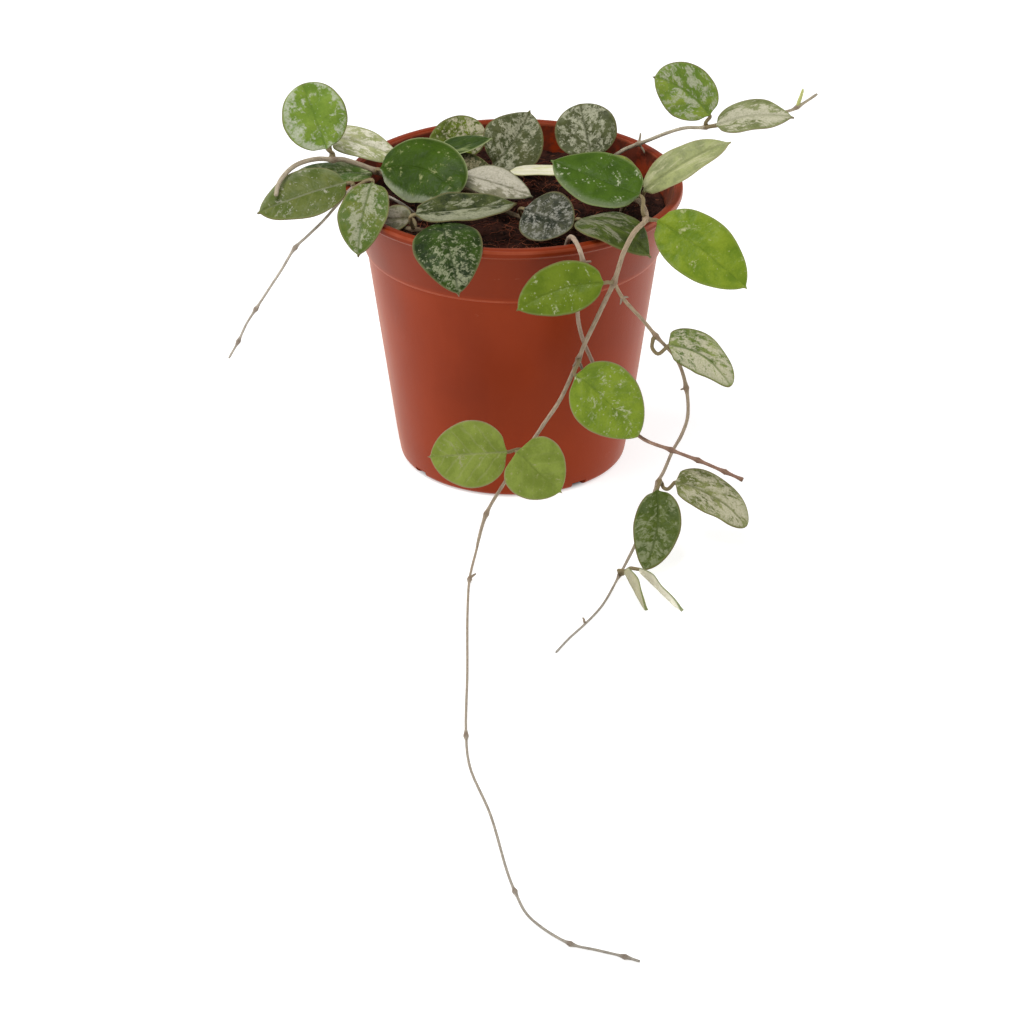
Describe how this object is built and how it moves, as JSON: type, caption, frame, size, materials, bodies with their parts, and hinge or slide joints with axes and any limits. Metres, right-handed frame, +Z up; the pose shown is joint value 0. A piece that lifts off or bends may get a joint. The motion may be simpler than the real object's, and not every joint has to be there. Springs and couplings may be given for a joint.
{
  "type": "potted hoya plant",
  "caption": "Young silver-splashed hoya with green, dark and silvery leaves on wiry runners that hang over and trail below a terracotta-coloured round nursery pot.",
  "frame": {"origin": "centre of the pot's base, on the surface that it stands on", "axes": "+Z up out of the pot, -Y towards the side on which the long runners hang and trail, +X to the right seen from there"},
  "size_m": [0.2105, 0.4015, 0.1389],
  "materials": {
    "pot_plastic": "satin, terracotta-coloured",
    "soil": "loose dark potting mix with coir",
    "stem": "dry, tan to grey",
    "leaf_green": "waxy, bright green with silver flecks",
    "leaf_dark": "waxy, dark green with few silver flecks",
    "leaf_silver": "waxy, mottled with silver and cream"
  },
  "bodies": {
    "root": {"pot": "pot_plastic", "soil": "soil", "stem_front": "stem", "stem_dry": "stem", "stem_left_low": "stem", "stem_left_high": "stem", "stem_right": "stem", "stem_heart": "stem", "stem_back": "stem", "stem_middle": "stem", "leaf_left_1": "leaf_green", "leaf_left_2": "leaf_silver", "leaf_left_3": "leaf_dark", "leaf_left_4": "leaf_dark", "leaf_left_5": "leaf_green", "leaf_left_6": "leaf_silver", "leaf_heart_1": "leaf_silver", "leaf_heart_2": "leaf_silver", "leaf_heart_3": "leaf_dark", "leaf_back_1": "leaf_green", "leaf_back_2": "leaf_dark", "leaf_back_3": "leaf_silver", "leaf_back_4": "leaf_silver", "leaf_back_5": "leaf_silver", "leaf_middle_4": "leaf_silver", "leaf_middle_1": "leaf_silver", "leaf_middle_2": "leaf_silver", "leaf_middle_3": "leaf_dark", "leaf_right_1": "leaf_green", "leaf_right_2": "leaf_silver", "leaf_front_1": "leaf_green", "leaf_front_2": "leaf_silver", "leaf_front_3": "leaf_dark", "leaf_front_4": "leaf_green", "leaf_front_5": "leaf_green", "leaf_front_6": "leaf_green", "leaf_front_7": "leaf_green", "leaf_front_8": "leaf_green", "leaf_branch_1": "leaf_silver", "leaf_branch_2": "leaf_silver", "leaf_branch_3": "leaf_dark", "leaf_branch_4": "leaf_silver", "leaf_branch_5": "leaf_silver"}
  },
  "joints": []
}
